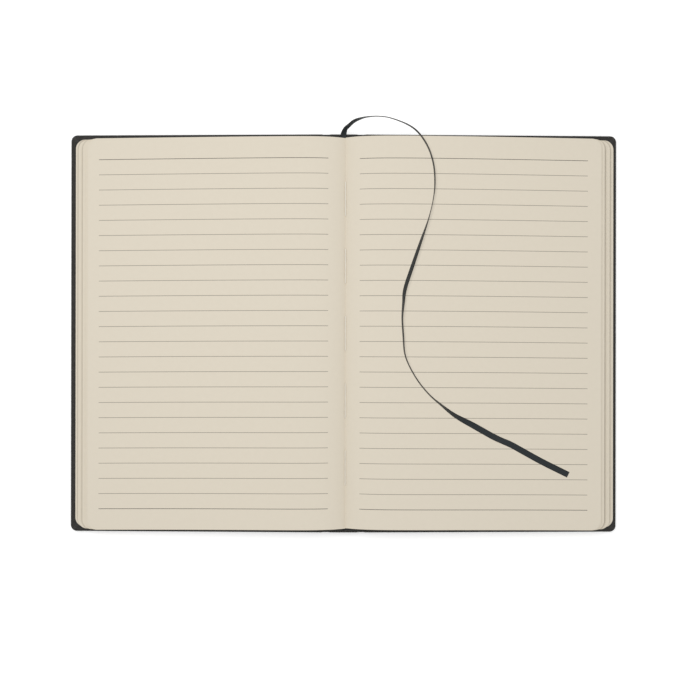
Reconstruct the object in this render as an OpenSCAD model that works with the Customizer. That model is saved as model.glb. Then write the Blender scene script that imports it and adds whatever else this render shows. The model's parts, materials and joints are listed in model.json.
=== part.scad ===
// Hardback ruled notebook lying open at its middle, with a woven ribbon marker.
// Millimetres. X runs from the left page to the right page, Y to the head of the book, Z up.
// The origin lies on the table under the middle of the spine.

/* [Pages] */
// Width of one leaf, from the sewn fold to the fore-edge
leaf_w = 138.4; // [100:0.1:180]
// Height of one leaf
leaf_h = 206.8; // [145:1:296]
// Thickness of the whole block of leaves when it is shut
block_t = 10.4; // [8:0.2:16]
// Sewn sections in the block: an odd number, so that it opens at the stitches of the middle one
sections = 13; // [9:2:21]
// Radius of the outer corners of the leaves
page_r = 7; // [2:0.5:12]
// How far the block sits to the right of the middle of the case
block_shift = 1; // [0:0.1:1]
// How fast the pages rise out of the fold: a smaller value is a steeper valley
valley_u = 6.5; // [4:0.5:12]
// Air under the open leaves of the left half, at its highest
left_air = 1.2; // [0:0.1:3]
// Distance from the fold to the highest air of the left half
left_hump = 28; // [15:1:60]
// Air under the open leaves of the right half, at its highest
right_air = 2; // [0:0.1:4]
// Distance from the fold to the highest air of the right half
right_hump = 40; // [15:1:60]

/* [Case] */
// How far each board stands past the leaves at the head and at the tail
head_square = 2.05; // [1:0.05:5]
// How far each board stands past the leaves at the fore-edge
fore_square = 1.8; // [1:0.1:5]
// Thickness of the greyboard
board_t = 1.8; // [1.2:0.1:3]
// How much wider the spine strip is than the block
spine_ease = 3.2; // [2:0.1:5]
// Thickness of the leatherette that wraps the case
skin_t = 0.4; // [0.2:0.05:0.8]
// Width of leatherette that is folded over onto the inside of a board
turn_in = 15; // [8:1:20]
// Radius of the two outer corners of each cover
corner_r = 4; // [2:0.5:10]
// Slope of each cover, which rises from its fore-edge towards the spine
arch_deg = 1.5; // [0:0.1:4]

/* [Endpapers and lining] */
// Thickness of the paper pasted inside each cover
paste_t = 0.2; // [0.1:0.05:0.4]
// Thickness of the lining glued on the back of the block
lining_t = 0.3; // [0.2:0.05:0.8]
// How far the lining stays inside each side of the block
lining_inset = 0.2; // [0:0.1:1]
// Hollow between the spine strip and the lining, through which the ribbon passes
hollow = 0.5; // [0.4:0.05:2]

/* [Sewing] */
// Distance between two holes in the fold
station_pitch = 17.8; // [12:0.1:20]
// Stitches that show in the fold, each from one hole to the next
stitches = 5; // [2:1:5]
// Thickness of the thread
thread_d = 0.4; // [0.2:0.05:0.6]

/* [Ribbon] */
// Width of the ribbon
ribbon_w = 3.2; // [2:0.1:6]
// Thickness of the ribbon
ribbon_t = 0.3; // [0.2:0.05:0.6]

/* [Clearances] */
// Between a shut cover and the edge of the spine strip
joint_ease = 0.1; // [0.1:0.1:2]
// Between a cover and the leaves that lie on it
rest_gap = 0.1; // [0.05:0.05:0.5]
// Between the two leatherette edges that meet at a hinge line
hinge_gap = 0.1; // [0.05:0.05:0.4]
// Between the thread and the wall of its hole
thread_gap = 0.1; // [0.05:0.05:0.2]

/* [Hidden] */
$fn = 64;
left = -1;
right = 1;

// The case is cut to fit the block. Each cover turns about a line in the middle of its joint, on top
// of the leatherette.
half_n = sections / 2;
layers = ceil(half_n);
half_t = block_t / 2;
spine_w = block_t + spine_ease;
inside_h = board_t + skin_t + paste_t;
board_in = inside_h + joint_ease;
hinge_x = spine_w / 2 + board_in;
board_w = leaf_w + half_t + fore_square - hinge_x - board_in;
board_h = leaf_h + 2 * head_square;
cover_w = board_in + board_w + skin_t;
case_h = board_h + 2 * skin_t;
hinge_z = cover_w * sin(arch_deg) + skin_t * cos(arch_deg);
board_r = corner_r - skin_t;

// The block: its back, its middle fold and the room for its leaves.
back_z = hinge_z + board_t + skin_t + hollow + lining_t;
section_t = block_t / sections;
fold_z = back_z + section_t;
// How much shorter than its own width a leaf reaches, because it climbs out of the fold.
climb = 2;
// The leaves are straight from here to the fore-edge, and their corners are rounded.
flat_u = leaf_w - climb - page_r - 1;
profile_n = 24;

// Points of the ribbon down its middle: x, y, z and how far its width leans from level, in degrees.
RIBBON = [
    [0.2, 97, 6.42, 0], [0.1, 103.2, 6.42, 0], [-0.1, 104.8, 6.6, -2], [0.05, 106.3, 7.4, -20],
    [0.9, 108, 8.9, -52], [2.8, 109.5, 10.6, -84], [4.8, 110.9, 11.9, -100], [7, 112, 12.9, -110],
    [9.7, 112.7, 13.6, -102], [13.1, 113.2, 14.1, -94], [17.6, 113.4, 14.4, -91],
    [21.6, 113.2, 14.5, -90], [25.9, 112, 14.6, -90], [29.7, 110.7, 14.7, -89], [33.5, 109, 14.7, -88],
    [37.2, 106.6, 14.8, -86], [40.3, 103.5, 14.57, -86], [43.3, 98.8, 14.5, -84],
    [45.2, 94.8, 14.44, -82], [46.4, 91.1, 14.41, -80], [47.3, 86.6, 14.38, -79],
    [47.7, 82, 14.36, -79], [47.7, 77.2, 14.36, -80], [47.4, 73.8, 14.38, -83],
    [46.8, 69.7, 14.39, -86], [46.1, 65.9, 14.41, -87], [45.2, 62.6, 14.44, -86],
    [44.6, 60.1, 14.46, -82], [43.3, 56.3, 14.49, -78], [41.9, 52.2, 14.52, -75],
    [40.7, 48.8, 14.53, -71], [39, 43.8, 14.55, -69], [37.5, 39.2, 14.57, -68],
    [36.1, 35.1, 14.57, -65], [34.6, 30.9, 14.57, -63], [33.3, 27.2, 14.56, -61],
    [32.3, 23.5, 14.61, -65], [31.8, 20.5, 14.64, -69], [31.4, 16, 14.66, -72],
    [30.9, 11.4, 14.69, -78], [30.8, 7.8, 14.7, -80], [31, 3.5, 14.7, -80], [31.3, -0.9, 14.7, -80],
    [31.6, -6.1, 14.7, -82], [32.1, -10.5, 14.7, -84], [33, -13.9, 14.69, -86],
    [34.8, -17.7, 14.67, -85], [36.9, -21.5, 14.64, -85], [39.4, -25.4, 14.59, -84],
    [42, -28.8, 14.53, -84], [45.1, -32.2, 14.45, -83], [48, -34.8, 14.35, -80],
    [50.9, -37.2, 14.23, -74], [53.4, -39, 14.1, -67], [58.5, -43, 13.7, -50],
    [63.1, -45.7, 13.12, -30], [68.2, -48.3, 12.46, -12], [73.2, -51.2, 11.91, 0],
    [78.2, -53.9, 11.74, 4], [83.3, -56.3, 11.84, 16], [88.3, -58.5, 11.38, -5],
    [93.4, -61.3, 11.02, 0], [98.5, -64.1, 10.79, 0], [104.5, -67.4, 10.54, 0],
    [110.6, -70.7, 10.28, 0], [118.6, -74.4, 9.95, 0],
];

// Height of a cover's inner face, and of the underside of the leaves that lie on it, at x.
function inside_z(x) = hinge_z - (abs(x) - hinge_x) * tan(arch_deg) + inside_h / cos(arch_deg);
function under_z(x) = inside_z(x) + rest_gap;

// The air under the leaves, at a distance u from the fold, rises to its highest at the hump and fades
// out towards the fore-edge.
function air_at(u, side) =
    let (hump = side == left ? left_hump : right_hump, air = side == left ? left_air : right_air)
    air * u / hump * exp(1 - u / hump);

// Top of the half block at u, where the leaves climb out of the fold.
function page_z(u, side) =
    let (open_z = under_z(block_shift + side * u) + half_t + air_at(u, side))
    fold_z + (open_z - fold_z) * (1 - exp(-u / valley_u));

// Boundary between two sections in the straight part near the fore-edge; k counts up from the cover,
// and only half of the middle section, the last one, lies on each side.
function layer_z(u, side, k) =
    under_z(block_shift + side * u)
    + min(k / half_n, 1) * (page_z(flat_u, side) - under_z(block_shift + side * flat_u));

// How far the k-th section from the cover reaches from the fold: the sections fan out, because each
// is sewn one thickness nearer to the middle than the one below it.
function section_reach(k) =
    leaf_w + (half_n - k + 0.5) * section_t - climb * min(k / half_n, 1);

// Points of the top of a half block, from the fold outwards, closer together in the valley.
function page_line(side) = [
    for (i = [0:profile_n])
    let (u = flat_u * pow(i / profile_n, 2))
    [block_shift + side * u, page_z(u, side)]
];

function reversed(list) = [for (i = [len(list) - 1:-1:0]) list[i]];

// Outline of a plate that starts at x = from and has two round corners at its far end.
module plate(from, to, height, r) {
    translate([from, -height / 2]) square([to - from - r, height]);
    translate([from, -height / 2 + r]) square([to - from, height - 2 * r]);
    for (y = [-1, 1]) translate([to - r, y * (height / 2 - r)]) circle(r);
}

// Places a right-hand cover, drawn with its hinge line at the origin, on its side of the spine.
module on_cover(side) {
    mirror([side == left ? 1 : 0, 0, 0])
    translate([hinge_x, 0, hinge_z])
    rotate([0, arch_deg, 0])
    children();
}

module board(side) {
    on_cover(side)
    linear_extrude(board_t) plate(board_in, board_in + board_w, board_h, board_r);
}

// Leatherette of one cover: its outer face, its three wrapped edges, the turn-ins on the inside of
// the board, and its half of the flexible joint.
module cover_skin(side) {
    on_cover(side) {
        difference() {
            translate([0, 0, -skin_t])
            linear_extrude(board_t + 2 * skin_t) plate(board_in, cover_w, case_h, corner_r);
            linear_extrude(board_t) plate(board_in - 1, board_in + board_w, board_h, board_r);
            linear_extrude(board_t + 2 * skin_t) turned_window();
        }
        translate([hinge_gap / 2, -case_h / 2, -skin_t])
        cube([board_in - hinge_gap / 2, case_h, skin_t]);
    }
}

// The part of the board's inside that the turn-ins leave bare.
module turned_window() {
    translate([board_in - 1, -case_h / 2 + turn_in])
    square([cover_w - turn_in - board_in + 1, case_h - 2 * turn_in]);
}

// Distance from the middle of the case to the fore-edge of the pasted paper.
function paste_reach(side) = leaf_w + half_t + side * block_shift / 2;

// Paper pasted over the turn-ins, thicker where it fills the space between them. It is the outer half
// of the endpaper, so it has the height of a leaf, ends about where the outermost leaf does, and is
// pasted half as far to the right as the block sits.
module pastedown(side) {
    on_cover(side) {
        translate([0, 0, board_t + skin_t])
        linear_extrude(paste_t) plate(board_in, paste_reach(side) - hinge_x, leaf_h, page_r);
        translate([0, 0, board_t])
        linear_extrude(skin_t)
        difference() {
            turned_window();
            translate([board_in - 2, -case_h / 2]) square([2, case_h]);
        }
    }
}

module front_board() {
    color("tan") board(left);
}

module back_board() {
    color("tan") board(right);
}

module spine_board() {
    color("tan")
    translate([-spine_w / 2, -board_h / 2, hinge_z])
    cube([spine_w, board_h, board_t]);
}

module front_cover_skin() {
    color("#33322f") cover_skin(left);
}

module back_cover_skin() {
    color("#33322f") cover_skin(right);
}

// Leatherette over the spine strip and the inner halves of both joints, folded in at head and tail.
module spine_skin() {
    strip_w = 2 * hinge_x - hinge_gap;
    color("#33322f") {
        translate([-strip_w / 2, -case_h / 2, hinge_z - skin_t]) cube([strip_w, case_h, skin_t]);
        for (end = [0, 1])
        mirror([0, end, 0])
        translate([-spine_w / 2, 0, hinge_z]) {
            translate([0, board_h / 2, 0]) cube([spine_w, skin_t, board_t + skin_t]);
            translate([0, case_h / 2 - turn_in, board_t]) cube([spine_w, turn_in, skin_t]);
        }
    }
}

module front_pastedown() {
    color("#ded5c4") pastedown(left);
}

module back_pastedown() {
    color("#ded5c4") pastedown(right);
}

// Strip glued on the back of the sections, which the thread's holes don't reach.
module spine_lining() {
    color("#efece4")
    translate([block_shift - half_t + lining_inset, -leaf_h / 2, back_z - lining_t])
    cube([block_t - 2 * lining_inset, leaf_h, lining_t]);
}

// Fanned fore-edge of a half block, from its top section down to the cover.
function fore_edge(side) = [
    for (k = [layers:-1:1])
    let (reach = section_reach(k))
    for (layer = [k, k - 1])
    [block_shift + side * reach, layer_z(reach, side, layer)]
];

// Side view of the whole block.
module block_profile() {
    inner = hinge_x + board_in;
    polygon(concat(
        reversed(fore_edge(left)),
        reversed(page_line(left)),
        [for (i = [1:profile_n]) page_line(right)[i]],
        fore_edge(right),
        [
            [inner, under_z(inner)], [block_shift + half_t, back_z],
            [block_shift - half_t, back_z], [-inner, under_z(inner)],
        ]
    ));
}

// What is cut off to round the corners of the k-th section, and of all those above it a little
// further: everything outside the two corner circles, from that section's underside upwards.
module corner_cut(side, k) {
    reach = section_reach(k);
    outside = section_reach(1) + page_r;
    clear_z = 2 * fold_z + block_t;
    intersection() {
        rotate([90, 0, 0])
        linear_extrude(2 * leaf_h, center = true)
        polygon([
            [block_shift + side * flat_u, layer_z(flat_u, side, k == 1 ? -1 : k - 1)],
            [block_shift + side * outside, layer_z(outside, side, k == 1 ? -1 : k - 1)],
            [block_shift + side * outside, clear_z], [block_shift + side * flat_u, clear_z],
        ]);
        translate([block_shift, 0, 0])
        mirror([side == left ? 1 : 0, 0, 0])
        linear_extrude(clear_z)
        for (end = [0, 1])
        mirror([0, end, 0])
        translate([reach - page_r, leaf_h / 2 - page_r])
        difference() {
            square(2 * page_r);
            circle(page_r);
        }
    }
}

// Every hole that the thread passes through in the middle fold.
function station_y(i) = (i - (2 * stitches - 1) / 2) * station_pitch;

// Top of the thread's straight run, which lies on both walls of the valley.
function thread_z() =
    fold_z + thread_d / 2 * sqrt(1 + pow(valley_slope(), 2)) + thread_gap / 2;
function valley_slope() = (under_z(block_shift) + half_t - fold_z) / valley_u;

// All the leaves as one solid: two half blocks that meet in the fold, fanned at their fore-edges.
module page_block() {
    hole_r = thread_d / 2 + thread_gap;
    color("#ded5c4")
    difference() {
        rotate([90, 0, 0]) linear_extrude(leaf_h, center = true) block_profile();
        for (side = [left, right], k = [1:layers]) corner_cut(side, k);
        for (i = [0:2 * stitches - 1])
        translate([block_shift, station_y(i), back_z - 1])
        cylinder(r = hole_r, h = section_t + 3);
    }
}

// Stitches of the middle section: a straight run in the fold, and a leg down each of its two holes.
module sewing_thread() {
    r = thread_d / 2;
    color("white")
    for (i = [0:stitches - 1])
    translate([block_shift, station_y(2 * i), 0]) {
        translate([0, 0, thread_z()]) rotate([-90, 0, 0]) cylinder(r = r, h = station_pitch);
        for (y = [0, station_pitch]) {
            translate([0, y, thread_z()]) sphere(r);
            translate([0, y, back_z]) cylinder(r = r, h = thread_z() - back_z);
        }
    }
}

function unit(v) = v / norm(v);

// Direction of the ribbon at its i-th point.
function heading(i) =
    let (a = RIBBON[max(i - 1, 0)], b = RIBBON[min(i + 1, len(RIBBON) - 1)])
    unit([b[0] - a[0], b[1] - a[1], b[2] - a[2]]);

// The eight corners of the ribbon's flat section at its i-th point, turned by its lean.
function ribbon_ring(i) =
    let (
        along = heading(i),
        level = unit(cross(along, [0, 0, 1])),
        above = cross(level, along),
        lean = RIBBON[i][3],
        wide = level * cos(lean) + above * sin(lean),
        thick = above * cos(lean) - level * sin(lean),
        w = ribbon_w / 2,
        t = ribbon_t / 2,
        middle = [RIBBON[i][0], RIBBON[i][1], RIBBON[i][2]]
    )
    [
        for (p = [[w, t / 2], [w - t, t], [0, t], [t - w, t], [-w, t / 2], [-w, -t / 2], [0, -t], [w, -t / 2]])
        middle + wide * p[0] + thick * p[1]
    ];

module ribbon_marker() {
    count = len(RIBBON);
    sides = 8;
    rings = [for (i = [0:count - 1]) ribbon_ring(i)];
    skin = [
        for (i = [0:count - 2])
        for (j = [0:sides - 1])
        let (a = i * sides, b = a + sides, next = (j + 1) % sides)
        for (face = [[a + j, b + j, b + next], [a + j, b + next, a + next]]) face
    ];
    color("#32373a")
    polyhedron(
        points = [for (ring = rings) for (p = ring) p],
        faces = concat(
            [[for (j = [0:sides - 1]) j]],
            skin,
            [[for (j = [sides - 1:-1:0]) (count - 1) * sides + j]]
        )
    );
}

front_board();
back_board();
spine_board();
front_cover_skin();
back_cover_skin();
spine_skin();
front_pastedown();
back_pastedown();
spine_lining();
page_block();
sewing_thread();
ribbon_marker();
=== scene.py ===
"""Looks of the open hardback notebook: its ribbon, wrapped case, endpapers, leaves and sewing.

Sizes of the book are in millimetres until they go into a mesh; table and lamp are in metres. The
hinge lines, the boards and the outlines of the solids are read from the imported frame.
"""

import json
import math

import bpy
import numpy as np
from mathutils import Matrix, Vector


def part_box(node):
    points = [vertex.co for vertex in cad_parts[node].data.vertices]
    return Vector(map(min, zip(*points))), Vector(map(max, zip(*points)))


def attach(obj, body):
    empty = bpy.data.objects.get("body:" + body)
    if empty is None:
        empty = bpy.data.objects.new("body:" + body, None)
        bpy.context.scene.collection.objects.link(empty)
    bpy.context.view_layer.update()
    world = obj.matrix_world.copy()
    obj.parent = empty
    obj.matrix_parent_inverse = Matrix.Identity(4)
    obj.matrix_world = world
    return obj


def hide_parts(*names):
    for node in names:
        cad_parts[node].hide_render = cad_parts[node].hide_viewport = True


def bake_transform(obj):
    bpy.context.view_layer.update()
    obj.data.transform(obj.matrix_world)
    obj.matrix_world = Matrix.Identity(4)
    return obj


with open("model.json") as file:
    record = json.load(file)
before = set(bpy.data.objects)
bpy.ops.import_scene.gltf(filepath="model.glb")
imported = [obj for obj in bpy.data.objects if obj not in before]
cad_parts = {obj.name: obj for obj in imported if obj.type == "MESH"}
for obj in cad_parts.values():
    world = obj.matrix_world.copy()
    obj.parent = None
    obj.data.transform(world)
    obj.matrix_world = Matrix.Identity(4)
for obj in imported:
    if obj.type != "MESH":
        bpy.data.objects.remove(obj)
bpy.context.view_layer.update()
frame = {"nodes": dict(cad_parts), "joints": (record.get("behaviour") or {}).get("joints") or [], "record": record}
MM = 0.001
sharp_angle = 50

# The camera looks straight down on the open book, from a little right of the spine and a little
# below the middle of the pages. It is a 50 mm lens half a metre above the table.
camera_x, camera_y, camera_z = 3.5, -8.8, 522.5
camera_turn = 0.09
camera = bpy.data.objects.new("camera", bpy.data.cameras.new("camera"))
bpy.context.scene.collection.objects.link(camera)
camera.location = camera_x * MM, camera_y * MM, camera_z * MM
camera.rotation_euler = 0, 0, math.radians(camera_turn)
camera.data.sensor_width = 36
camera.data.lens = 50
camera.data.clip_start = 0.01
bpy.context.scene.camera = camera


# The ribbon marker is a narrow woven satin ribbon, glued to the back of the sections. It comes out
# of the hollow of the spine at the head, turns on its edge in a loop, and lies down on the right page.
ribbon_w, ribbon_t = 3.2, 0.3
selvedge_w = 0.25
rings_per_span = 8
# Middle of the ribbon and its lean about that line in degrees, point by point from the spine.
RIBBON = np.array([
    [0.2, 97, 6.4, 0], [0.1, 103.2, 6.4, 0], [-0.1, 104.8, 6.6, -2], [0.1, 106.3, 7.4, -28],
    [0.9, 108, 8.9, -56], [2.8, 109.5, 10.6, -66], [5.8, 111.5, 12.4, -72], [9.7, 112.7, 13.6, -87],
    [13.1, 113.2, 14.1, -95], [17.6, 113.4, 14.4, -98], [22.8, 112.9, 14.5, -98],
    [28.1, 111.3, 14.6, -96], [33.5, 109, 14.7, -93], [37.9, 106, 14.7, -90],
    [41.9, 101.2, 14.6, -88], [45.2, 94.8, 14.5, -87], [47.3, 86.6, 14.4, -85],
    [47.7, 77.2, 14.4, -86], [46.8, 69.7, 14.4, -90], [45.2, 62.6, 14.5, -89],
    [43.3, 56.3, 14.5, -81], [40.7, 48.8, 14.6, -70], [36.4, 36.1, 14.6, -59],
    [32.3, 23.5, 14.7, -58], [31.4, 16, 14.7, -70],
    [30.8, 7.8, 14.7, -80], [31.3, -0.9, 14.7, -80], [32.1, -10.5, 14.7, -84],
    [34.8, -17.7, 14.7, -85], [39.4, -25.4, 14.6, -84], [45.1, -32.2, 14.5, -83],
    [50.9, -37.2, 14.3, -74], [58.5, -43, 13.7, -50], [68.2, -48.3, 12.5, -12],
    [78.2, -53.9, 11.8, 4], [83.3, -56.3, 11.9, 16], [88.3, -58.5, 11.4, -5],
    [93.4, -61.3, 11.1, 0], [104.5, -67.4, 10.6, 0], [118.6, -74.4, 10, 0],
])


def smooth_route(points, steps):
    """Curve through all the points, steps samples to a span: each span is the cubic whose ends have
    the slope of the line between their neighbours."""
    before = np.vstack([2 * points[0] - points[1], points[:-2]])
    after = np.vstack([points[2:], 2 * points[-1] - points[-2]])
    a, b = points[:-1, None], points[1:, None]
    slope_a = ((points[1:] - before) / 2)[:, None]
    slope_b = ((after - points[:-1]) / 2)[:, None]
    t = np.arange(steps)[None, :, None] / steps
    spans = (
        (2 * t**3 - 3 * t**2 + 1) * a
        + (t**3 - 2 * t**2 + t) * slope_a
        + (3 * t**2 - 2 * t**3) * b
        + (t**3 - t**2) * slope_b
    )
    return np.vstack([spans.reshape(-1, points.shape[1]), points[-1:]])


def unit(vectors):
    """Vectors divided by their own length."""
    return vectors / np.linalg.norm(vectors, axis=-1, keepdims=True)


def grid_faces(rows, columns, closed=False):
    """Corner numbers of the quads of a grid stored row by row; closed joins the last column to the
    first."""
    i, j = np.meshgrid(np.arange(rows - 1), np.arange(columns if closed else columns - 1), indexing="ij")
    k = (j + 1) % columns
    here, above = i * columns, (i + 1) * columns
    return np.stack([here + j, here + k, above + k, above + j], -1).reshape(-1, 4)


def make_piece(name, points, faces, uv=None):
    """Mesh object from points in millimetres, lists of face corners and a uv pair for each point.
    It is smooth, except where two faces meet at more than the sharp angle."""
    mesh = bpy.data.meshes.new(name)
    mesh.from_pydata((points * MM).tolist(), [], [list(map(int, face)) for face in faces])
    if uv is not None:
        layer = mesh.uv_layers.new(name="UVMap")
        corners = np.zeros(len(mesh.loops), np.int32)
        mesh.loops.foreach_get("vertex_index", corners)
        layer.data.foreach_set("uv", uv[corners].astype(np.float32).ravel())
    mesh.polygons.foreach_set("use_smooth", np.full(len(mesh.polygons), True))
    mesh.set_sharp_from_angle(angle=math.radians(sharp_angle))
    piece = bpy.data.objects.new(name, mesh)
    bpy.context.scene.collection.objects.link(piece)
    return piece


def mark_points(piece, label, values):
    """Stores one number for each point of a piece, which its materials read by that label."""
    marks = piece.data.attributes.new(label, "FLOAT", "POINT")
    marks.data.foreach_set("value", values.astype(np.float32))


def ribbon_surface():
    """Points, uv and middle line of the ribbon: a flat section with round selvedges, carried along
    the route and turned by the lean of each point. Across the section, half thickness is t/2 times
    the fourth root of 1 - v^8."""
    route = smooth_route(RIBBON, rings_per_span)
    middle = route[:, :3]
    along = unit(np.gradient(middle, axis=0))
    level = unit(np.cross(along, [0, 0, 1]))
    above = np.cross(level, along)
    lean = np.radians(route[:, 3:])
    wide = level * np.cos(lean) + above * np.sin(lean)
    thick = above * np.cos(lean) - level * np.sin(lean)
    v = np.sin(np.linspace(-math.pi / 2, math.pi / 2, 15))
    across = np.concatenate([v, v[-2:0:-1]])
    half = ribbon_t / 2 * (1 - across**8) ** 0.25
    height = half * np.where(np.arange(len(across)) < len(v), 1, -1)
    points = (
        middle[:, None]
        + wide[:, None] * across[None, :, None] * ribbon_w / 2
        + thick[:, None] * height[None, :, None]
    )
    run = np.concatenate([[0], np.cumsum(np.linalg.norm(np.diff(middle, axis=0), axis=1))])
    uv = np.stack(np.broadcast_arrays(across[None] * ribbon_w / 2, run[:, None]), -1)
    return points.reshape(-1, 3), uv.reshape(-1, 2), middle, len(across)


def node_group(name, inputs, outputs):
    """Shader node group with named inputs (name, kind, value) and outputs (name, kind)."""
    group = bpy.data.node_groups.new(name, "ShaderNodeTree")
    for label, kind, value in inputs:
        socket = group.interface.new_socket(label, in_out="INPUT", socket_type=kind)
        if value is not None:
            socket.default_value = value
    for label, kind in outputs:
        group.interface.new_socket(label, in_out="OUTPUT", socket_type=kind)
    return group, group.nodes.new("NodeGroupInput"), group.nodes.new("NodeGroupOutput")


def maths(tree, operation, a, b=None, c=None, clamp=False):
    """One Math node; each operand is a number or a socket. Returns its output."""
    node = tree.nodes.new("ShaderNodeMath")
    node.operation = operation
    node.use_clamp = clamp
    for socket, value in zip(node.inputs, (a, b, c)):
        if isinstance(value, (int, float)):
            socket.default_value = value
        elif value is not None:
            tree.links.new(value, socket)
    return node.outputs[0]


def noise(tree, where, scale, detail=2.0, roughness=0.5, stretch=None):
    """Noise texture at a place; stretch scales the place along its three axes first."""
    if stretch is not None:
        mapping = tree.nodes.new("ShaderNodeMapping")
        mapping.inputs["Scale"].default_value = stretch
        tree.links.new(where, mapping.inputs["Vector"])
        where = mapping.outputs[0]
    node = tree.nodes.new("ShaderNodeTexNoise")
    node.inputs["Scale"].default_value = scale
    node.inputs["Detail"].default_value = detail
    node.inputs["Roughness"].default_value = roughness
    tree.links.new(where, node.inputs["Vector"])
    return node.outputs["Fac"]


def split(tree, place):
    """The X and Y of a place."""
    node = tree.nodes.new("ShaderNodeSeparateXYZ")
    tree.links.new(place, node.inputs[0])
    return node.outputs["X"], node.outputs["Y"]


def point_mark(tree, label):
    """The number that mark_points stored under that label."""
    node = tree.nodes.new("ShaderNodeAttribute")
    node.attribute_name = label
    return node.outputs["Fac"]


def mixed(tree, share, a, b):
    """Mix of two colours; share is a socket, and each colour is a tuple or a socket."""
    node = tree.nodes.new("ShaderNodeMix")
    node.data_type = "RGBA"
    tree.links.new(share, node.inputs["Factor"])
    for socket, value in ((node.inputs["A"], a), (node.inputs["B"], b)):
        if isinstance(value, tuple):
            socket.default_value = value
        else:
            tree.links.new(value, socket)
    return node.outputs["Result"]


def srgb(red, green, blue):
    """Colour as the renderer counts light, from 0 to 255 screen values."""
    screen = np.array([red, green, blue]) / 255
    light = np.where(screen > 0.04045, ((screen + 0.055) / 1.055) ** 2.4, screen / 12.92)
    return (*light.tolist(), 1.0)


def new_material(name):
    """Empty material with a Principled shader; returns the material, its tree and the shader."""
    material = bpy.data.materials.new(name)
    material.use_nodes = True
    tree = material.node_tree
    return material, tree, tree.nodes["Principled BSDF"]


def bumped(tree, shader, height, strength, distance):
    """Bump on a shader's normal; the height times the distance is in metres."""
    node = tree.nodes.new("ShaderNodeBump")
    node.inputs["Strength"].default_value = strength
    node.inputs["Distance"].default_value = distance
    tree.links.new(height, node.inputs["Height"])
    tree.links.new(node.outputs[0], shader.inputs["Normal"])


def used_group(tree, group, place=None, **values):
    """A node group placed in a material, with its Place socket linked and its values set."""
    node = tree.nodes.new("ShaderNodeGroup")
    node.node_tree = group
    if place is not None:
        tree.links.new(place, node.inputs["Place"])
    for label, value in values.items():
        node.inputs[label.replace("_", " ")].default_value = value
    return node


def wave(tree, where, pitch):
    """Sine of 2 pi times a place over the pitch."""
    turns = maths(tree, "DIVIDE", maths(tree, "MULTIPLY", where, 2 * math.pi), pitch)
    return maths(tree, "SINE", turns)


def weave_group():
    """Woven threads from a uv in millimetres: warp threads run along v and weft ribs cross them.
    The height is the sum of two sine waves, broken up a little by noise."""
    group, start, end = node_group(
        "woven_threads",
        [
            ("Place", "NodeSocketVector", None),
            ("Warp Pitch", "NodeSocketFloat", 0.2),
            ("Weft Pitch", "NodeSocketFloat", 0.3),
        ],
        [("Height", "NodeSocketFloat"), ("Shade", "NodeSocketFloat")],
    )
    wave_share, uneven_height, uneven_shade = 0.25, 0.3, 0.7
    u, v = split(group, start.outputs["Place"])
    warp = wave(group, u, start.outputs["Warp Pitch"])
    weft = wave(group, v, start.outputs["Weft Pitch"])
    ribs = maths(group, "MULTIPLY_ADD", weft, wave_share, 0.5)
    threads = maths(group, "MULTIPLY_ADD", warp, wave_share, ribs)
    uneven = noise(group, start.outputs["Place"], scale=1.5, detail=3, stretch=(3, 0.5, 1))
    height = maths(group, "MULTIPLY_ADD", uneven, uneven_height, threads)
    faint = maths(group, "MULTIPLY", threads, 1 - uneven_shade)
    shade = maths(group, "MULTIPLY_ADD", uneven, uneven_shade, faint)
    group.links.new(height, end.inputs["Height"])
    group.links.new(shade, end.inputs["Shade"])
    return group


def ribbon_finish():
    """Black satin: bluish black threads, with a tighter and darker selvedge along both sides."""
    material, tree, shader = new_material("black_satin_ribbon")
    place = tree.nodes.new("ShaderNodeUVMap").outputs[0]
    weave = used_group(tree, woven_threads, place, Warp_Pitch=0.16, Weft_Pitch=0.24)
    tone = mixed(tree, weave.outputs["Shade"], srgb(22, 25, 27), srgb(48, 54, 57))
    from_middle = maths(tree, "ABSOLUTE", split(tree, place)[0])
    selvedge = maths(tree, "GREATER_THAN", from_middle, ribbon_w / 2 - selvedge_w)
    tone = mixed(tree, selvedge, tone, srgb(10, 11, 12))
    tree.links.new(tone, shader.inputs["Base Color"])
    shader.inputs["Roughness"].default_value = 0.42
    shader.inputs["Specular IOR Level"].default_value = 0.25
    bumped(tree, shader, weave.outputs["Height"], strength=0.6, distance=0.00006)
    return material


woven_threads = weave_group()
satin = ribbon_finish()
ribbon_points, ribbon_uv, ribbon_middle, ribbon_sides = ribbon_surface()
ribbon_ends = [
    list(range(ribbon_sides))[::-1],
    list(range(len(ribbon_points) - ribbon_sides, len(ribbon_points))),
]
ribbon = make_piece(
    "satin_ribbon",
    ribbon_points,
    [*grid_faces(len(ribbon_middle), ribbon_sides, closed=True), *ribbon_ends],
    ribbon_uv,
)
ribbon.data.materials.append(satin)
hinges = {joint["name"]: joint for joint in frame["joints"]}
hinge_x, hinge_z = (hinges["back_cover_hinge"]["pos_m"][k] / MM for k in (0, 2))
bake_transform(ribbon)
# Bounced light passes through the thin ribbon, so it leaves no dark band on the page where it stands.
ribbon.visible_diffuse = False
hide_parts("ribbon_marker")


# The boards are grey millboard, cut from a sheet and hidden under the leatherette and the endpapers.
# The lining is a strip of stiff paper glued over the backs of the sections.
def board_finish():
    """Grey millboard: pressed waste paper with darker and lighter fibres."""
    material, tree, shader = new_material("grey_millboard")
    place = tree.nodes.new("ShaderNodeTexCoord").outputs["Object"]
    fibres = noise(tree, place, scale=900, detail=4, roughness=0.65)
    tone = mixed(tree, fibres, srgb(132, 122, 106), srgb(170, 160, 142))
    tree.links.new(tone, shader.inputs["Base Color"])
    shader.inputs["Roughness"].default_value = 0.9
    bumped(tree, shader, fibres, strength=0.5, distance=0.0001)
    return material


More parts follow.
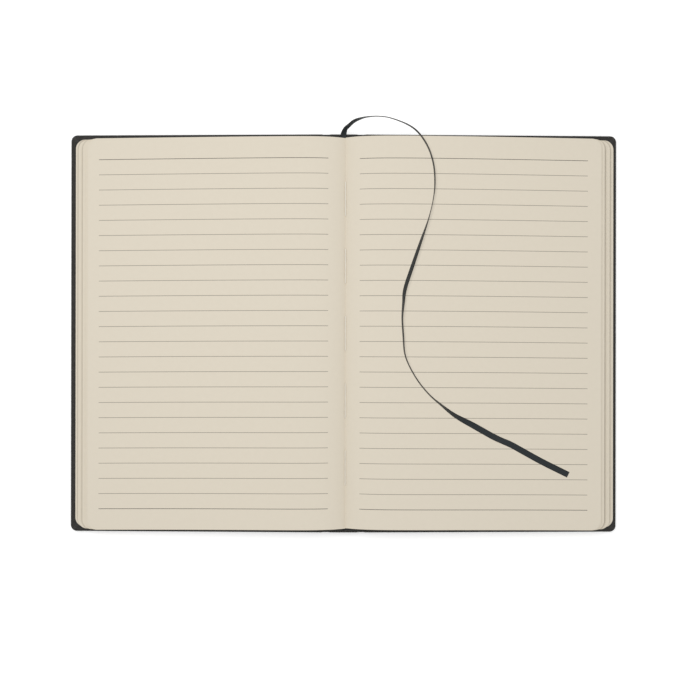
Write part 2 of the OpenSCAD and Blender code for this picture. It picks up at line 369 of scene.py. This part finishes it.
def lining_finish():
    """White lining paper with a crinkle left by the glue."""
    material, tree, shader = new_material("lining_paper")
    place = tree.nodes.new("ShaderNodeTexCoord").outputs["Object"]
    crinkle = noise(tree, place, scale=350, detail=3, stretch=(2, 0.5, 1))
    tone = mixed(tree, crinkle, srgb(222, 217, 206), srgb(240, 237, 229))
    tree.links.new(tone, shader.inputs["Base Color"])
    shader.inputs["Roughness"].default_value = 0.8
    bumped(tree, shader, crinkle, strength=0.4, distance=0.0001)
    return material


def refinish(material, *nodes):
    """Gives these CAD nodes that material in place of their plain one."""
    for name in nodes:
        mesh = frame["nodes"][name].data
        mesh.materials.clear()
        mesh.materials.append(material)


refinish(board_finish(), "front_board", "back_board", "spine_board")
refinish(lining_finish(), "spine_lining")


# The case is covered with leatherette, black plastic on a backing cloth with an embossed grain. It is
# one sheet glued round both boards and the spine strip, its edges folded in over their rims and mitred
# at the corners, and it is pressed into a groove along each joint.
cover_low, cover_high = (np.array(corner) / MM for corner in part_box("back_cover_skin"))
board_low, board_high = (np.array(corner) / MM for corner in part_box("spine_board"))
case_h = cover_high[1] - cover_low[1]
board_t = board_high[2] - board_low[2]
strip_w = board_high[0] - board_low[0]
skin_t = 0.4
turn_in = 15
corner_r = 3.3
edge_r = 0.7
groove, groove_reach = 0.35, 1.1
seam_depth = 0.15
# The seam's sinking and the painted corner highlight both grow with the diagonal to these powers.
seam_power, folded_power = 30, 3
joint_sag, sag_run = 0.5, 1.2
board_in = hinge_x - strip_w / 2
arch = math.asin(abs(frame["record"]["mounts"][0]["axis"][0]))
cover_w = (cover_high[0] - hinge_x - (board_t + skin_t) * math.sin(arch)) / math.cos(arch)


def on_cover(points, side):
    """Points drawn along a flat case, with x measured from its middle and z from the top of the
    leatherette, put where the case lies: past the hinge line they turn down by the arch, and the
    left half is the mirror image."""
    x, y, z = points[..., 0], points[..., 1], points[..., 2]
    past = np.maximum(x - hinge_x, 0)
    turn = np.where(x > hinge_x, arch, 0)
    return np.stack(
        [
            side * (x - past + past * np.cos(turn) + z * np.sin(turn)),
            y,
            hinge_z - past * np.sin(turn) + z * np.cos(turn),
        ],
        -1,
    )


def rise(x, low, high):
    """0 below low, 1 above high and a smooth step between."""
    t = np.clip((x - low) / (high - low), 0, 1)
    return t * t * (3 - 2 * t)


def board_share(x):
    """1 where a board or the spine strip is inside the leatherette; in the joint between them the
    folded-in edge sags by a share of the board's thickness."""
    into = rise(x, strip_w / 2, strip_w / 2 + sag_run)
    return 1 - joint_sag * (into - rise(x, hinge_x + board_in - sag_run, hinge_x + board_in))


def leatherette_surface(side):
    """Outer surface of half a case, from the middle of the spine to the fore-edge.
    The outside is a grid of columns across the case, whose ends follow the round corners. From its
    rim a profile runs outwards and up round the edge of the board and then in over the top to the
    mitre: a quarter circle, a straight side, a quarter circle and a flat, which sinks a little where
    the two turned-in edges meet on the diagonal."""
    spine_steps, joint_steps, board_steps, quarter_steps, flap_steps = 6, 15, 24, 5, 5
    rim_r = corner_r - edge_r
    end_x, end_y = hinge_x + cover_w - edge_r, case_h / 2 - edge_r
    straight = np.concatenate([
        np.linspace(0, strip_w / 2, spine_steps)[:-1],
        np.linspace(strip_w / 2, hinge_x + board_in, joint_steps)[:-1],
        np.linspace(hinge_x + board_in, end_x - rim_r, board_steps)[:-1],
    ])
    bend = np.linspace(0, math.pi / 2, 9)
    column_x = np.concatenate([straight, end_x - rim_r + rim_r * np.sin(bend)])
    column_y = np.concatenate([np.full(len(straight), end_y), end_y - rim_r + rim_r * np.cos(bend)])
    column_n = np.concatenate([np.zeros(len(straight)), bend])
    rows = 41
    share = np.linspace(-1, 1, rows)
    inside = np.stack(np.broadcast_arrays(column_x[:, None], column_y[:, None] * share, 0.0), -1)
    pressed = groove * np.exp(-(((inside[..., 0] - hinge_x) / groove_reach) ** 2))
    inside[..., 2] = -skin_t + pressed

    columns = len(column_x)
    number = np.arange(columns * rows).reshape(columns, rows)
    rim = np.concatenate([number[:, -1], number[-1, -2:0:-1], number[::-1, 0]])
    normal = np.zeros((len(rim), 2))
    normal[:columns] = np.stack([np.sin(column_n), np.cos(column_n)], -1)
    normal[columns : columns + rows - 2] = 1, 0
    normal[-columns:] = np.stack([np.sin(column_n), -np.cos(column_n)], -1)[::-1]
    base = inside.reshape(-1, 3)[rim]
    top = skin_t + board_t * board_share(base[:, 0])
    corner = np.linspace(0, math.pi / 2, quarter_steps)[1:]
    radius = np.minimum(edge_r, (top - base[:, 2]) / 2)
    out = np.concatenate([np.sin(corner), np.cos(corner[:-1]), [0]]) * edge_r
    up = np.concatenate([
        radius[:, None] * (1 - np.cos(corner)),
        (top - base[:, 2])[:, None] - radius[:, None] * (1 - np.sin(corner)),
    ], 1)
    wrap = np.empty((len(rim), out.size, 3))
    wrap[..., :2] = base[:, None, :2] + normal[:, None] * out[None, :, None]
    wrap[..., 2] = base[:, None, 2] + up
    tip = np.stack([
        np.minimum(base[:, 0], hinge_x + cover_w - turn_in),
        np.clip(base[:, 1], turn_in - case_h / 2, case_h / 2 - turn_in),
        top,
    ], -1)
    over = np.linspace(0, 1, flap_steps)[1:, None]
    flap = wrap[:, -1:] * (1 - over) + tip[:, None] * over
    diagonal = 2 * np.abs(normal[:, 0] * normal[:, 1])
    seam = seam_depth * diagonal**seam_power
    flap[..., 2] = skin_t + board_t * board_share(flap[..., 0]) - seam[:, None]
    wall = np.concatenate([wrap, flap], 1)

    flat = inside[..., :2].reshape(-1, 2)
    profile = np.concatenate([base[:, None], wall], 1)
    run = np.cumsum(np.linalg.norm(np.diff(profile, axis=1), axis=2), 1)
    wall_uv = flat[rim][:, None] + normal[:, None] * run[..., None]
    points = np.concatenate([inside.reshape(-1, 3), wall.reshape(-1, 3)])
    uv = np.concatenate([flat, wall_uv.reshape(-1, 2)])
    steps = wall.shape[1]
    wall_number = columns * rows + np.arange(len(rim) * steps).reshape(-1, steps)
    tube = np.concatenate([rim[:, None], wall_number], 1)
    a, b, c, d = tube[:-1, :-1], tube[1:, :-1], tube[1:, 1:], tube[:-1, 1:]
    sides = np.stack([a, d, c, b], -1).reshape(-1, 4)
    bottom = grid_faces(columns, rows)[:, ::-1]
    faces = np.concatenate([bottom, sides[:, ::-1]])
    # Share of the painted highlight at each point: on the folded-in flaps, strongest at the mitres.
    folded = np.zeros((len(rim), steps))
    folded[:, wrap.shape[1] - 1 :] = (diagonal**folded_power)[:, None]
    folded = np.concatenate([np.zeros(columns * rows), folded.ravel()])
    return on_cover(points, side), faces[:, ::-1] if side > 0 else faces, uv * [side, 1], folded


def grain_group():
    """Embossed leather grain from a place in millimetres: pebbles are the cells round scattered
    points, as high as the root of the distance to the nearest edge of the cell, with fine pores, and
    the creases are those edges. Patch is a slow change of tone over many pebbles."""
    group, start, end = node_group(
        "embossed_grain",
        [("Place", "NodeSocketVector", None), ("Pebble Size", "NodeSocketFloat", 0.7)],
        [("Height", "NodeSocketFloat"), ("Crease", "NodeSocketFloat"), ("Patch", "NodeSocketFloat")],
    )
    scaled = group.nodes.new("ShaderNodeVectorMath")
    scaled.operation = "DIVIDE"
    group.links.new(start.outputs["Place"], scaled.inputs[0])
    group.links.new(start.outputs["Pebble Size"], scaled.inputs[1])
    warp = group.nodes.new("ShaderNodeVectorMath")
    warp.operation = "ADD"
    group.links.new(scaled.outputs[0], warp.inputs[0])
    group.links.new(noise(group, scaled.outputs[0], scale=1.3, detail=2), warp.inputs[1])
    cells = group.nodes.new("ShaderNodeTexVoronoi")
    cells.feature = "DISTANCE_TO_EDGE"
    cells.inputs["Scale"].default_value = 1.0
    group.links.new(warp.outputs[0], cells.inputs["Vector"])
    steepness, pore_height = 3.0, 0.25
    pebble = maths(group, "MULTIPLY", cells.outputs["Distance"], steepness, clamp=True)
    round_top = maths(group, "POWER", pebble, 0.5)
    pores = noise(group, scaled.outputs[0], scale=6, detail=3)
    height = maths(group, "MULTIPLY_ADD", pores, pore_height, round_top)
    group.links.new(height, end.inputs["Height"])
    group.links.new(maths(group, "SUBTRACT", 1.0, pebble), end.inputs["Crease"])
    patch = noise(group, scaled.outputs[0], scale=0.05, detail=2)
    group.links.new(patch, end.inputs["Patch"])
    return group


def leatherette_finish():
    """Warm black leatherette: creases are darker and duller than the pebbles, and a painted highlight
    lightens the folded-in flaps towards the mitres at the corners."""
    material, tree, shader = new_material("black_leatherette")
    place = tree.nodes.new("ShaderNodeUVMap").outputs[0]
    grain = used_group(tree, embossed_grain, place, Pebble_Size=0.75)
    pebbles = mixed(tree, grain.outputs["Patch"], srgb(45, 43, 40), srgb(54, 52, 48))
    corner_highlight_strength, smoothest, duller_crease = 0.5, 0.48, 0.25
    # Painted highlight on the corners' folded-in flaps, lighter towards the mitre.
    painted_corner_highlight = maths(tree, "MULTIPLY", point_mark(tree, "folded"), corner_highlight_strength)
    pebbles = mixed(tree, painted_corner_highlight, pebbles, srgb(88, 87, 84))
    tone = mixed(tree, grain.outputs["Crease"], pebbles, srgb(28, 27, 25))
    tree.links.new(tone, shader.inputs["Base Color"])
    dull = maths(tree, "MULTIPLY_ADD", grain.outputs["Crease"], duller_crease, smoothest)
    tree.links.new(dull, shader.inputs["Roughness"])
    shader.inputs["Specular IOR Level"].default_value = 0.4
    bumped(tree, shader, grain.outputs["Height"], strength=0.7, distance=0.00012)
    return material


embossed_grain = grain_group()
leatherette = leatherette_finish()
for side, body, nodes in (
    (-1, "front_cover", ("front_cover_skin", "spine_skin")),
    (1, "back_cover", ("back_cover_skin",)),
):
    points, faces, uv, folded = leatherette_surface(side)
    half_case = make_piece("leatherette_" + body, points, faces, uv)
    # Where the painted corner highlight lies.
    mark_points(half_case, "folded", folded)
    half_case.data.materials.append(leatherette)
    thickness = half_case.modifiers.new("leatherette_thickness", "SOLIDIFY")
    thickness.thickness = skin_t * MM
    thickness.offset = -1
    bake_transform(half_case)
    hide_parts(*nodes)


# The leaves are cream offset paper, ruled in grey, in thirteen sewn sections of four folded sheets.
# Six sections and half of the middle one lie on each side, so the book is open at the middle section's
# stitches. The trimmed fore-edges fan out, because the lower leaves are sewn further from the fold.
leaf_w, open_r = 138.4, 5
block_low, block_high = (np.array(corner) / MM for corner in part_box("page_block"))
leaf_h = block_high[1] - block_low[1]
back_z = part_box("spine_lining")[1][2] / MM
sections, section_leaves = 13, 8
half_t = 5.2
section_t = 2 * half_t / sections
half_leaves = sections * section_leaves // 2
paper_t = 0.085
block_shift = 1
valley_u = 6.5
rest_gap, paste_t = 0.1, 0.2
inside_h = board_t + skin_t + paste_t
air = {-1: 1.2, 1: 2.0}
hump = {-1: 28, 1: 40}
shortest = 135.3
# Reach of the leaves at these shares of the stack, counted up from the cover, with a step at each ledge.
ledges = {
    -1: (
        [0, 0.34, 0.35, 0.65, 0.66, 0.87, 0.88, 1],
        [142.5, 142.2, 139.7, 139.4, 137.7, 137.5, 136.5, 136.3],
    ),
    1: ([0, 0.415, 0.43, 0.845, 0.86, 1], [140.9, 140.6, 137.7, 137.2, 135.6, 135.3]),
}
least_ledge = 2
uneven_reach = 0.05
far_off = 99
column_crowding = 1.9
coarse_grid, fine_grid = (26, 7), (110, 41)
head_up, droop = {-1: 0, 1: 0.25}, {-1: 0.65, 1: 0.8}
lifted = {-1: 0.15, 1: 0.2}
partings = {-1: ((0.345, 0.3), (0.655, 0.2), (0.875, 0.1)), 1: ((0.42, 0.35), (0.85, 0.2))}
parting_rate = 140
loose_from = 40
ripple_h, ripple_pitch, ripple_turn = 0.06, 31, 9
hairpin_rise = 0.6
# Painted shadow at the foot of each ledge: where it fades, in mm past the leaves above, and its share.
ledge_line, ledge_shadow_strength = (0.3, 1.1), 0.4


def under_z(x):
    """Height of the underside of the leaves: a gap above the pasted paper, which slopes with the
    cover from the hinge line outwards."""
    return hinge_z - (np.abs(x) - hinge_x) * math.tan(arch) + inside_h / math.cos(arch) + rest_gap


def leaf_places(side):
    """For each leaf of one side, counted up from the cover: the distance of its foot from the fold,
    the height of its foot, and its reach.
    The sheets of a section are folded into each other, so their feet lie in nested hairpins."""
    leaf = np.arange(half_leaves)
    section, inside = leaf // section_leaves, leaf % section_leaves
    whole = section < sections // 2
    nested = np.minimum(inside, section_leaves - 1 - inside)
    centre = np.where(whole, (sections / 2 - section - 0.5) * section_t, 0)
    hairpin = (section_leaves / 2 - 0.5 - nested) * paper_t
    foot_u = np.where(whole, centre + np.where(inside < section_leaves / 2, hairpin, -hairpin), 0)
    foot_z = back_z + paper_t * (0.5 + np.where(whole, hairpin_rise * nested, inside))
    return foot_u, foot_z, np.interp(leaf / (half_leaves - 1), *ledges[side])


def parted(share, side):
    """Share of the stack's slack that lies under each leaf near the fore-edge: some under the lowest
    leaf and some at each parting of the leaves, and the rest spread evenly."""
    even = 1 - lifted[side] - sum(part for place, part in partings[side])
    steps = [part / (1 + np.exp(-(share - place) * parting_rate)) for place, part in partings[side]]
    return lifted[side] + even * share + sum(steps)


def leaf_height(u, y, side, leaf, foot_u, foot_z):
    """Height of the middle of a leaf at a distance u from the fold: it lies on the leaves below,
    with the air between them spread evenly near the spine and gathered at the partings near the
    fore-edge, where it ripples a little, and it climbs out of its foot as 1 - exp(-u / valley)."""
    stack = half_t + air[side] * u / hump[side] * np.exp(1 - u / hump[side])
    slack = stack - half_leaves * paper_t
    share = leaf / (half_leaves - 1)
    edge = rise(u, loose_from, shortest)
    ripple = np.sin(math.pi * share) * np.sin(y / ripple_pitch + ripple_turn * share)
    loose = (1 - edge) * share + edge * parted(share, side) + ripple_h * ripple * edge
    open_z = under_z(block_shift + side * u) + paper_t * (leaf + 0.5) + slack * loose
    return foot_z + (open_z - foot_z) * (1 - np.exp(-(u - foot_u) / valley_u))


def slab_faces(columns, rows, side):
    """Faces of a closed slab whose points are an upper and then a lower grid, and a mark on each:
    0 for the two broad sides and 1 for the rim. On the left side the order of the corners turns."""
    count = columns * rows
    number = np.arange(count).reshape(columns, rows)
    rim = np.concatenate([number[:, 0], number[-1, 1:], number[-2::-1, -1], number[0, -2::-1]])
    skirt = np.stack([rim[:-1], rim[:-1] + count, rim[1:] + count, rim[1:]], -1)
    top = grid_faces(columns, rows)
    faces = np.concatenate([top[:, ::-1], top + count, skirt])
    kind = np.concatenate([np.zeros(2 * len(top), int), np.ones(len(skirt), int)])
    return faces[:, ::-1] if side < 0 else faces, kind


def leaf_block(side, leaves, columns, rows):
    """Closed thin slabs for these leaves of one side, as one set of points, faces and uv.
    A leaf is a grid of columns from its foot to the fore-edge, whose ends follow its two round
    corners; the upper and lower grids lie half a thickness above and below its middle. The uv is
    the run along the leaf from the fold and the distance from the head, in millimetres. Beyond is
    how far a point lies past the end of the leaves above it, where they end at least a ledge short,
    and the tone is a number from 0 to 1 for each leaf."""
    uneven = np.random.default_rng(5).uniform(-uneven_reach, uneven_reach, half_leaves)
    foot_u, foot_z, all_reach = leaf_places(side)
    step = all_reach - np.append(all_reach[1:], all_reach[-1])
    above = np.where(step > least_ledge, all_reach - step, 0)[leaves]
    foot_u, foot_z, reach = (part[leaves][:, None] for part in (foot_u, foot_z, all_reach))
    reach = reach - np.abs(uneven[leaves][:, None])
    bend = np.linspace(0, math.pi / 2, 9)[1:]
    even = np.linspace(0, 1, columns) ** column_crowding
    straight = foot_u + (reach - open_r - foot_u) * even
    u = np.concatenate([straight, reach - open_r + open_r * np.sin(bend)], 1)
    drop = np.concatenate([np.zeros(columns), open_r * (1 - np.cos(bend))])
    end_y = np.broadcast_to(leaf_h / 2 - drop, u.shape)
    y = end_y[..., None] * np.linspace(-1, 1, rows)
    u = np.broadcast_to(u[..., None], y.shape)
    leaf = np.asarray(leaves, float)[:, None, None]
    middle = leaf_height(u, y, side, leaf, foot_u[..., None], foot_z[..., None])
    slide = uneven[leaves][:, None, None] + head_up[side] - droop[side] * (u / leaf_w) ** 2
    level, climb = np.diff(u, axis=1, prepend=0), np.diff(middle, axis=1, prepend=middle[:, :1])
    run = np.cumsum(np.hypot(level, climb), 1)
    x = block_shift + side * u
    both = [np.stack([x, y + slide, middle + part * paper_t / 2], -1) for part in (1, -1)]
    points = np.concatenate([part.reshape(len(leaves), -1, 3) for part in both], 1)
    uv = np.stack([run, leaf_h / 2 - y], -1).reshape(len(leaves), -1, 2)
    uv = np.concatenate([uv, uv], 1)

    faces, kind = slab_faces(u.shape[1], rows, side)
    count = u.shape[1] * rows
    shift = (np.arange(len(leaves)) * 2 * count)[:, None, None]
    # How far each point lies past the leaves above, which places the painted shadow.
    beyond = np.where(above > 0, u.reshape(len(leaves), -1).T - above, far_off).T
    beyond = np.concatenate([beyond, beyond], 1)
    return (
        points.reshape(-1, 3),
        (faces + shift).reshape(-1, 4),
        uv.reshape(-1, 2),
        np.tile(kind, len(leaves)),
        beyond.ravel(),
        np.repeat(uneven[leaves] / (2 * uneven_reach) + 0.5, 2 * count),
    )


def fibre_group():
    """Paper from a place in millimetres: a fine tooth, and a cloudiness of the pulp that shows
    against the light."""
    group, start, end = node_group(
        "paper_fibres",
        [("Place", "NodeSocketVector", None)],
        [("Tooth", "NodeSocketFloat"), ("Cloud", "NodeSocketFloat")],
    )
    place = start.outputs["Place"]
    tooth = noise(group, place, scale=6, detail=4, roughness=0.6, stretch=(1, 1.6, 1))
    cloud = noise(group, place, scale=0.35, detail=5, roughness=0.6)
    group.links.new(tooth, end.inputs["Tooth"])
    group.links.new(cloud, end.inputs["Cloud"])
    return group


ruling_pitch, ruling_w = 8.02, 0.3
first_line, line_count = {-1: 11.3, 1: 11.75}, 24
ruling_from, ruling_to = {-1: 9.9, 1: 8.4}, {-1: 131.3, 1: 129.0}
ruling_ink = 0.67
ruling_margin = 1


def ruling_group():
    """Ruled lines from a leaf's uv in millimetres: a line where the distance from the head, less
    the first line's, is near a whole number of pitches. The first and the last line are heavier."""
    group, start, end = node_group(
        "ruled_lines",
        [
            ("Place", "NodeSocketVector", None),
            ("First", "NodeSocketFloat", 11.6),
            ("From", "NodeSocketFloat", 9.0),
            ("To", "NodeSocketFloat", 130.0),
        ],
        [("Line", "NodeSocketFloat")],
    )
    along, from_head = split(group, start.outputs["Place"])
    down = maths(group, "SUBTRACT", from_head, start.outputs["First"])
    turns = maths(group, "ADD", maths(group, "DIVIDE", down, ruling_pitch), 0.5)
    off = maths(group, "ABSOLUTE", maths(group, "SUBTRACT", maths(group, "FRACT", turns), 0.5))
    away = maths(group, "MULTIPLY", off, ruling_pitch)
    line = maths(group, "LESS_THAN", away, ruling_w / 2)
    last = (line_count - 1) * ruling_pitch
    for value, low, high in (
        (down, -ruling_margin, last + ruling_margin),
        (along, start.outputs["From"], start.outputs["To"]),
    ):
        line = maths(group, "MULTIPLY", line, maths(group, "GREATER_THAN", value, low))
        line = maths(group, "MULTIPLY", line, maths(group, "LESS_THAN", value, high))
    from_middle = maths(group, "ABSOLUTE", maths(group, "SUBTRACT", down, last / 2))
    outer = maths(group, "GREATER_THAN", from_middle, last / 2 - ruling_margin)
    ink = maths(group, "MULTIPLY_ADD", outer, 1 - ruling_ink, ruling_ink)
    group.links.new(maths(group, "MULTIPLY", line, ink), end.inputs["Line"])
    return group


def ledge_shade(tree, beyond, from_middle):
    """Painted shadow along the edge of the leaves above, where their step shades the paper below: a share
    that fades over the distance past their outline, a rectangle with round corners whose distance is
    the length of the positive parts of the way past its straight sides, less the radius."""
    past_x = maths(tree, "MAXIMUM", maths(tree, "ADD", beyond, open_r), 0.0)
    past_y = maths(tree, "MAXIMUM", maths(tree, "SUBTRACT", from_middle, leaf_h / 2 - open_r), 0.0)
    square_y = maths(tree, "MULTIPLY", past_y, past_y)
    squares = maths(tree, "ADD", maths(tree, "MULTIPLY", past_x, past_x), square_y)
    away = maths(tree, "SUBTRACT", maths(tree, "SQRT", squares), open_r)
    near, far = ledge_line
    fade = maths(tree, "DIVIDE", maths(tree, "SUBTRACT", far, away), far - near, clamp=True)
    return maths(tree, "MULTIPLY", fade, ledge_shadow_strength)


def paper_finish(name, pale, dull, side=None):
    """Uncoated cream paper, ruled as the leaves of that side are, with a painted shadow along the edge
    of the leaves above. Without a side it is their cut edges, each leaf with a tone of its own."""
    material, tree, shader = new_material(name)
    place = tree.nodes.new("ShaderNodeUVMap").outputs[0]
    fibres = used_group(tree, paper_fibres, place)
    if side is None:
        tone = mixed(tree, point_mark(tree, "leaf_tone"), pale, dull)
    else:
        tone = mixed(tree, fibres.outputs["Cloud"], pale, dull)
        ruling = used_group(
            tree, ruled_lines, place, First=first_line[side], From=ruling_from[side], To=ruling_to[side]
        )
        tone = mixed(tree, ruling.outputs["Line"], tone, srgb(95, 90, 83))
        from_head = split(tree, place)[1]
        from_middle = maths(tree, "ABSOLUTE", maths(tree, "SUBTRACT", from_head, leaf_h / 2))
        # Painted shadow where the leaves above end, for the shade at the foot of their step.
        shade = ledge_shade(tree, point_mark(tree, "beyond"), from_middle)
        tone = mixed(tree, shade, tone, painted_ledge_shadow)
    tree.links.new(tone, shader.inputs["Base Color"])
    shader.inputs["Roughness"].default_value = 0.85
    shader.inputs["Specular IOR Level"].default_value = 0.2
    bumped(tree, shader, fibres.outputs["Tooth"], strength=0.25, distance=0.00003)
    return material


# Colour of the painted shadow at the foot of each ledge, on the leaves and the pasted papers.
painted_ledge_shadow = srgb(150, 138, 120)
paper_fibres = fibre_group()
ruled_lines = ruling_group()
leaf_edge = paper_finish("trimmed_leaf_edges", srgb(240, 232, 216), srgb(206, 196, 178))
for side, body, nodes in ((-1, "front_cover", ("page_block",)), (1, "back_cover", ())):
    lower = leaf_block(side, np.arange(half_leaves - 1), *coarse_grid)
    upper = leaf_block(side, np.array([half_leaves - 1]), *fine_grid)
    upper = upper[0], upper[1] + len(lower[0]), *upper[2:]
    points, faces, uv, kinds, beyond, leaf_tone = (np.concatenate(pair) for pair in zip(lower, upper))
    leaves = make_piece("leaves_" + body, points, faces, uv)
    mark_points(leaves, "beyond", beyond)
    mark_points(leaves, "leaf_tone", leaf_tone)
    leaves.data.materials.append(
        paper_finish("ruled_paper_" + body, srgb(224, 215, 198), srgb(220, 211, 194), side)
    )
    leaves.data.materials.append(leaf_edge)
    leaves.data.polygons.foreach_set("material_index", kinds)
    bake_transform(leaves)
    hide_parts(*nodes)


# The pasted papers are the outer halves of the two endpapers, plain cream and as high as the leaves.
# Each is glued over its board and over the turned-in edges of the leatherette.
def pasted_finish():
    """Cream endpaper, smoother than the leaves where the glue holds it down, with a painted
    shadow along the edge of the lowest leaves that lie on it.
    """
    material, tree, shader = new_material("pasted_endpaper")
    place = tree.nodes.new("ShaderNodeTexCoord")
    mapping = tree.nodes.new("ShaderNodeMapping")
    mapping.inputs["Scale"].default_value = (1 / MM,) * 3
    tree.links.new(place.outputs["Object"], mapping.inputs["Vector"])
    fibres = used_group(tree, paper_fibres, mapping.outputs[0])
    tone = mixed(tree, fibres.outputs["Cloud"], srgb(226, 217, 200), srgb(220, 211, 194))
    x, y = split(tree, mapping.outputs[0])
    left_end, right_end = (ledges[side][1][0] for side in (-1, 1))
    middle = block_shift + (right_end - left_end) / 2
    from_spine = maths(tree, "ABSOLUTE", maths(tree, "SUBTRACT", x, middle))
    beyond = maths(tree, "SUBTRACT", from_spine, (right_end + left_end) / 2)
    # Painted shadow along the edge of the lowest leaves, which lie on the pasted paper.
    shade = ledge_shade(tree, beyond, maths(tree, "ABSOLUTE", y))
    tree.links.new(mixed(tree, shade, tone, painted_ledge_shadow), shader.inputs["Base Color"])
    shader.inputs["Roughness"].default_value = 0.8
    bumped(tree, shader, fibres.outputs["Tooth"], strength=0.2, distance=0.00003)
    return material


def pasted_paper(side, node):
    """Pasted paper of one cover as large as its solid, with the corners of the leaves: a grid whose
    ends follow the round corners, lifted by the board and the leatherette, and one below it."""
    low, high = (np.array(corner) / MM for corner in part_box(node))
    near, far = sorted([abs(low[0]), abs(high[0])])
    near = hinge_x + (near - hinge_x) / math.cos(arch)
    far = hinge_x + (far - hinge_x - inside_h * math.sin(arch)) / math.cos(arch)
    bend = np.linspace(0, math.pi / 2, 11)
    straight = np.linspace(near, far - open_r, 12)[:-1]
    x = np.concatenate([straight, far - open_r + open_r * np.sin(bend)])
    end_y = np.concatenate([np.full(len(straight), high[1]), high[1] - open_r * (1 - np.cos(bend))])
    rows = 9
    layers = [
        np.stack(np.broadcast_arrays(x[:, None], end_y[:, None] * np.linspace(-1, 1, rows), z), -1)
        for z in (inside_h, inside_h - paste_t)
    ]
    return on_cover(np.concatenate(layers).reshape(-1, 3), side), slab_faces(len(x), rows, side)[0]


endpaper = pasted_finish()
for side, cover in ((-1, "front"), (1, "back")):
    body, node = cover + "_cover", cover + "_pastedown"
    paper = make_piece("pasted_paper_" + body, *pasted_paper(side, node))
    paper.data.materials.append(endpaper)
    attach(paper, body)
    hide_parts(node)


# The sections are sewn through their folds with bleached cotton thread, which lies in the middle fold
# from one hole to the next and dives through to the back.
def thread_finish():
    """Bleached cotton, with a little fuzz."""
    material, tree, shader = new_material("cotton_thread")
    place = tree.nodes.new("ShaderNodeTexCoord").outputs["Object"]
    fuzz = noise(tree, place, scale=6000, detail=2)
    tone = mixed(tree, fuzz, srgb(226, 221, 209), srgb(244, 241, 234))
    tree.links.new(tone, shader.inputs["Base Color"])
    shader.inputs["Roughness"].default_value = 0.85
    bumped(tree, shader, fuzz, strength=0.5, distance=0.00005)
    return material


refinish(thread_finish(), "sewing_thread")


# The book lies on a white table, whose colour the camera sees as pure white wherever no shadow falls.
# A soft lamp hangs above it, to the upper left, and a pale dome fills the shadows from all round.
def table_finish():
    """White table: lit paint with a little light of its own for the camera and for reflections."""
    material, tree, shader = new_material("white_table")
    rays = tree.nodes.new("ShaderNodeLightPath")
    bounced = maths(tree, "MAXIMUM", rays.outputs["Is Glossy Ray"], rays.outputs["Is Transmission Ray"])
    seen = maths(tree, "MAXIMUM", rays.outputs["Is Camera Ray"], bounced)
    shader.inputs["Base Color"].default_value = (0.98, 0.98, 0.98, 1)
    shader.inputs["Roughness"].default_value = 1
    shader.inputs["Specular IOR Level"].default_value = 0
    shader.inputs["Emission Color"].default_value = (1, 1, 1, 1)
    tree.links.new(maths(tree, "MULTIPLY", seen, table_glow), shader.inputs["Emission Strength"])
    return material


table_size = 12.0
table_glow = 0.27
table_points = np.array([[-1, -1, 0], [1, -1, 0], [1, 1, 0], [-1, 1, 0]]) * table_size / 2 / MM
table = make_piece("table", table_points, [[0, 1, 2, 3]])
table.data.materials.append(table_finish())

lamp_data = bpy.data.lights.new("window_light", "AREA")
lamp_data.size = 0.25
lamp_data.energy = 0.72
lamp = bpy.data.objects.new("window_light", lamp_data)
lamp.location = -0.09, 0.12, 0.5
lamp.rotation_euler = (-lamp.location).to_track_quat("-Z", "Y").to_euler()
bpy.context.scene.collection.objects.link(lamp)

world = bpy.data.worlds.new("white_room")
world.use_nodes = True
bpy.context.scene.world = world
sky = world.node_tree
background = sky.nodes["Background"]
background.inputs["Color"].default_value = (1, 1, 1, 1)
sky_rays = sky.nodes.new("ShaderNodeLightPath")
dome_light = 0.75
seen_white = maths(sky, "MULTIPLY_ADD", sky_rays.outputs["Is Camera Ray"], 1 - dome_light, dome_light)
sky.links.new(seen_white, background.inputs["Strength"])

bpy.context.scene.view_settings.view_transform = "Standard"
